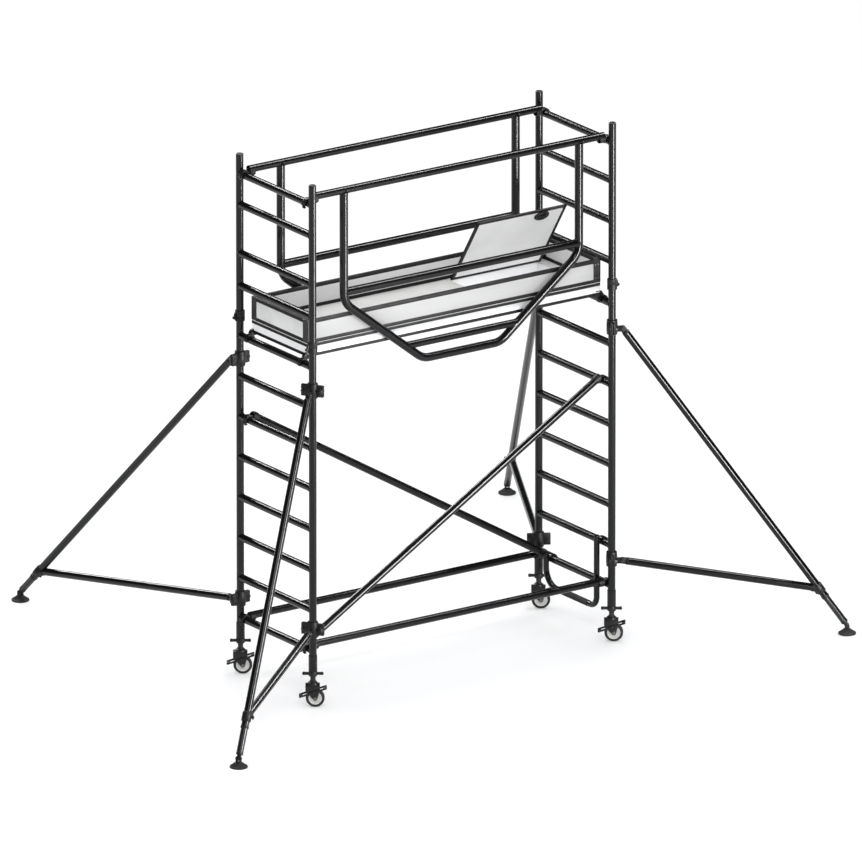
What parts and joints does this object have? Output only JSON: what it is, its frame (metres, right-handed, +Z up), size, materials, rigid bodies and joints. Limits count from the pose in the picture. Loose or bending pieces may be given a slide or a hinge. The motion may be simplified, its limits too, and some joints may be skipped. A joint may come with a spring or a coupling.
{
  "type": "mobile tower scaffold",
  "caption": "Mobile tower scaffold: ladder frames on braked adjustable castors, bracing, a railed deck with trapdoor and toe boards, and swinging telescopic stabilisers.",
  "frame": {"origin": "on the floor at the centre of the rectangle that the whole tower with its stabilisers stands in", "axes": "+Z up, +X along the bay from the left frame to the right frame, +Y across the tower towards its back"},
  "size_m": [5.0114, 3.8656, 3.607],
  "materials": {
    "frame_tube": "black powder coat, satin",
    "brace_tube": "black powder coat, satin",
    "rail_tube": "black powder coat, satin",
    "inner_tube": "dark anodised, satin",
    "platform_aluminium": "mill finish, brushed",
    "fitting_steel": "black, satin",
    "fitting_cast": "black paint on casting",
    "castor_steel": "black passivated pressing",
    "screw_steel": "dark zinc, oiled",
    "hub_plastic": "pale nylon",
    "tyre_rubber": "black rubber",
    "foot_rubber": "black rubber",
    "black_plastic": "moulded, fine grain",
    "deck_ply": "pale coated plywood",
    "trapdoor_panel": "pale coated plywood",
    "toe_board": "light grey painted board"
  },
  "bodies": {
    "root": {"base_frame_left": "frame_tube", "base_frame_right": "frame_tube", "upper_frame_left": "frame_tube", "upper_frame_right": "frame_tube", "frame_joint_clips": "fitting_steel", "post_caps": "black_plastic", "braces": "brace_tube", "brace_claws": "fitting_cast", "guardrail_front": "rail_tube", "guardrail_back": "rail_tube", "platform_frame": "platform_aluminium", "deck_panel": "deck_ply", "toe_boards": "toe_board", "access_step": "rail_tube"},
    "stem_lb": {"castor_stem_lb": "screw_steel"},
    "nut_lb": {"adjuster_nut_lb": "fitting_cast"},
    "fork_lb": {"castor_fork_lb": "castor_steel"},
    "wheel_lb": {"castor_hub_lb": "hub_plastic", "castor_tyre_lb": "tyre_rubber"},
    "lever_lb": {"brake_lever_lb": "castor_steel"},
    "stabiliser_lb": {"stabiliser_clamps_lb": "fitting_cast", "stabiliser_leg_lb": "brace_tube", "stabiliser_arm_lb": "brace_tube"},
    "extension_lb": {"stabiliser_extension_lb": "inner_tube"},
    "foot_lb": {"stabiliser_foot_lb": "foot_rubber"},
    "stem_lf": {"castor_stem_lf": "screw_steel"},
    "nut_lf": {"adjuster_nut_lf": "fitting_cast"},
    "fork_lf": {"castor_fork_lf": "castor_steel"},
    "wheel_lf": {"castor_hub_lf": "hub_plastic", "castor_tyre_lf": "tyre_rubber"},
    "lever_lf": {"brake_lever_lf": "castor_steel"},
    "stabiliser_lf": {"stabiliser_clamps_lf": "fitting_cast", "stabiliser_leg_lf": "brace_tube", "stabiliser_arm_lf": "brace_tube"},
    "extension_lf": {"stabiliser_extension_lf": "inner_tube"},
    "foot_lf": {"stabiliser_foot_lf": "foot_rubber"},
    "stem_rf": {"castor_stem_rf": "screw_steel"},
    "nut_rf": {"adjuster_nut_rf": "fitting_cast"},
    "fork_rf": {"castor_fork_rf": "castor_steel"},
    "wheel_rf": {"castor_hub_rf": "hub_plastic", "castor_tyre_rf": "tyre_rubber"},
    "lever_rf": {"brake_lever_rf": "castor_steel"},
    "stabiliser_rf": {"stabiliser_clamps_rf": "fitting_cast", "stabiliser_leg_rf": "brace_tube", "stabiliser_arm_rf": "brace_tube"},
    "extension_rf": {"stabiliser_extension_rf": "inner_tube"},
    "foot_rf": {"stabiliser_foot_rf": "foot_rubber"},
    "stem_rb": {"castor_stem_rb": "screw_steel"},
    "nut_rb": {"adjuster_nut_rb": "fitting_cast"},
    "fork_rb": {"castor_fork_rb": "castor_steel"},
    "wheel_rb": {"castor_hub_rb": "hub_plastic", "castor_tyre_rb": "tyre_rubber"},
    "lever_rb": {"brake_lever_rb": "castor_steel"},
    "stabiliser_rb": {"stabiliser_clamps_rb": "fitting_cast", "stabiliser_leg_rb": "brace_tube", "stabiliser_arm_rb": "brace_tube"},
    "extension_rb": {"stabiliser_extension_rb": "inner_tube"},
    "foot_rb": {"stabiliser_foot_rb": "foot_rubber"},
    "hatch": {"trapdoor": "trapdoor_panel"},
    "latch": {"trapdoor_latch": "black_plastic"}
  },
  "joints": [
    {"name": "height_slide_lb", "type": "slide", "parent": "root", "child": "stem_lb", "axis": [0, 0, 1], "range_m": [-0.2, 0.028]},
    {"name": "nut_turn_lb", "type": "hinge", "parent": "root", "child": "nut_lb", "pos_m": [-1.3315, -0.26192, 0.2467], "axis": [0, 0, 1], "range_deg": [-7202, 1010]},
    {"name": "swivel_lb", "type": "hinge", "parent": "stem_lb", "child": "fork_lb", "pos_m": [-1.3315, -0.26192, 0.146], "axis": [0, 0, 1], "continuous": true},
    {"name": "wheel_spin_lb", "type": "hinge", "parent": "fork_lb", "child": "wheel_lb", "pos_m": [-1.31921, -0.27052, 0.0625], "axis": [0.5736, 0.8192, 0], "continuous": true},
    {"name": "brake_lever_lb", "type": "hinge", "parent": "fork_lb", "child": "lever_lb", "pos_m": [-1.3315, -0.26192, 0.103], "axis": [0.5736, 0.8192, 0], "range_deg": [0, 15]},
    {"name": "stabiliser_swing_lb", "type": "hinge", "parent": "root", "child": "stabiliser_lb", "pos_m": [-1.3315, -0.26192, 0.525], "axis": [0, 0, 1], "range_deg": [-35, 35]},
    {"name": "leg_slide_lb", "type": "slide", "parent": "stabiliser_lb", "child": "extension_lb", "axis": [-0.1102, 0.6883, -0.717], "range_m": [-0.1, 0.35]},
    {"name": "foot_tilt_lb", "type": "hinge", "parent": "extension_lb", "child": "foot_lb", "pos_m": [-1.66806, 1.8393, 0.06], "axis": [-0.9874, -0.1582, 0], "range_deg": [-25, 25]},
    {"name": "height_slide_lf", "type": "slide", "parent": "root", "child": "stem_lf", "axis": [0, 0, 1], "range_m": [-0.2, 0.028]},
    {"name": "nut_turn_lf", "type": "hinge", "parent": "root", "child": "nut_lf", "pos_m": [-1.3315, -1.10592, 0.2467], "axis": [0, 0, 1], "range_deg": [-7202, 1010]},
    {"name": "swivel_lf", "type": "hinge", "parent": "stem_lf", "child": "fork_lf", "pos_m": [-1.3315, -1.10592, 0.146], "axis": [0, 0, 1], "continuous": true},
    {"name": "wheel_spin_lf", "type": "hinge", "parent": "fork_lf", "child": "wheel_lf", "pos_m": [-1.31921, -1.11452, 0.0625], "axis": [0.5736, 0.8192, 0], "continuous": true},
    {"name": "brake_lever_lf", "type": "hinge", "parent": "fork_lf", "child": "lever_lf", "pos_m": [-1.3315, -1.10592, 0.103], "axis": [0.5736, 0.8192, 0], "range_deg": [0, 15]},
    {"name": "stabiliser_swing_lf", "type": "hinge", "parent": "root", "child": "stabiliser_lf", "pos_m": [-1.3315, -1.10592, 0.54], "axis": [0, 0, 1], "range_deg": [-35, 35]},
    {"name": "leg_slide_lf", "type": "slide", "parent": "stabiliser_lf", "child": "extension_lf", "axis": [-0.427, -0.2907, -0.8562], "range_m": [-0.1, 0.35]},
    {"name": "foot_tilt_lf", "type": "hinge", "parent": "extension_lf", "child": "foot_lf", "pos_m": [-2.44574, -1.86458, 0.06], "axis": [0.5628, -0.8266, 0], "range_deg": [-25, 25]},
    {"name": "height_slide_rf", "type": "slide", "parent": "root", "child": "stem_rf", "axis": [0, 0, 1], "range_m": [-0.2, 0.028]},
    {"name": "nut_turn_rf", "type": "hinge", "parent": "root", "child": "nut_rf", "pos_m": [1.0735, -1.10592, 0.2467], "axis": [0, 0, 1], "range_deg": [-7202, 1010]},
    {"name": "swivel_rf", "type": "hinge", "parent": "stem_rf", "child": "fork_rf", "pos_m": [1.0735, -1.10592, 0.146], "axis": [0, 0, 1], "continuous": true},
    {"name": "wheel_spin_rf", "type": "hinge", "parent": "fork_rf", "child": "wheel_rf", "pos_m": [1.08579, -1.11452, 0.0625], "axis": [0.5736, 0.8192, 0], "continuous": true},
    {"name": "brake_lever_rf", "type": "hinge", "parent": "fork_rf", "child": "lever_rf", "pos_m": [1.0735, -1.10592, 0.103], "axis": [0.5736, 0.8192, 0], "range_deg": [0, 15]},
    {"name": "stabiliser_swing_rf", "type": "hinge", "parent": "root", "child": "stabiliser_rf", "pos_m": [1.0735, -1.10592, 0.576], "axis": [0, 0, 1], "range_deg": [-35, 35]},
    {"name": "leg_slide_rf", "type": "slide", "parent": "stabiliser_rf", "child": "extension_rf", "axis": [0.505, -0.2822, -0.8157], "range_m": [-0.1, 0.35]},
    {"name": "foot_tilt_rf", "type": "hinge", "parent": "extension_rf", "child": "foot_rf", "pos_m": [2.44574, -1.87283, 0.06], "axis": [0.4879, 0.8729, 0], "range_deg": [-25, 25]},
    {"name": "height_slide_rb", "type": "slide", "parent": "root", "child": "stem_rb", "axis": [0, 0, 1], "range_m": [-0.2, 0.028]},
    {"name": "nut_turn_rb", "type": "hinge", "parent": "root", "child": "nut_rb", "pos_m": [1.0735, -0.26192, 0.2467], "axis": [0, 0, 1], "range_deg": [-7202, 1010]},
    {"name": "swivel_rb", "type": "hinge", "parent": "stem_rb", "child": "fork_rb", "pos_m": [1.0735, -0.26192, 0.146], "axis": [0, 0, 1], "continuous": true},
    {"name": "wheel_spin_rb", "type": "hinge", "parent": "fork_rb", "child": "wheel_rb", "pos_m": [1.08579, -0.27052, 0.0625], "axis": [0.5736, 0.8192, 0], "continuous": true},
    {"name": "brake_lever_rb", "type": "hinge", "parent": "fork_rb", "child": "lever_rb", "pos_m": [1.0735, -0.26192, 0.103], "axis": [0.5736, 0.8192, 0], "range_deg": [0, 15]},
    {"name": "stabiliser_swing_rb", "type": "hinge", "parent": "root", "child": "stabiliser_rb", "pos_m": [1.0735, -0.26192, 0.485], "axis": [0, 0, 1], "range_deg": [-35, 35]},
    {"name": "leg_slide_rb", "type": "slide", "parent": "stabiliser_rb", "child": "extension_rb", "axis": [0.3746, 0.6489, -0.6622], "range_m": [-0.1, 0.35]},
    {"name": "foot_tilt_rb", "type": "hinge", "parent": "extension_rb", "child": "foot_rb", "pos_m": [2.306, 1.87283, 0.06], "axis": [-0.866, 0.5, 0], "range_deg": [-25, 25]},
    {"name": "trapdoor_hinge", "type": "hinge", "parent": "root", "child": "hatch", "pos_m": [0.61601, -0.40092, 2.4875], "axis": [-1, 0, 0], "range_deg": [-57, 33]},
    {"name": "latch_turn", "type": "hinge", "parent": "hatch", "child": "latch", "pos_m": [0.788, -0.68715, 2.91449], "axis": [0, 0.8387, 0.5446], "range_deg": [0, 90]}
  ],
  "couplings": [
    {"joint": "nut_turn_lb", "follows": "height_slide_lb", "rad_per_m": 628.32},
    {"joint": "nut_turn_lf", "follows": "height_slide_lf", "rad_per_m": 628.32},
    {"joint": "nut_turn_rf", "follows": "height_slide_rf", "rad_per_m": 628.32},
    {"joint": "nut_turn_rb", "follows": "height_slide_rb", "rad_per_m": 628.32}
  ]
}
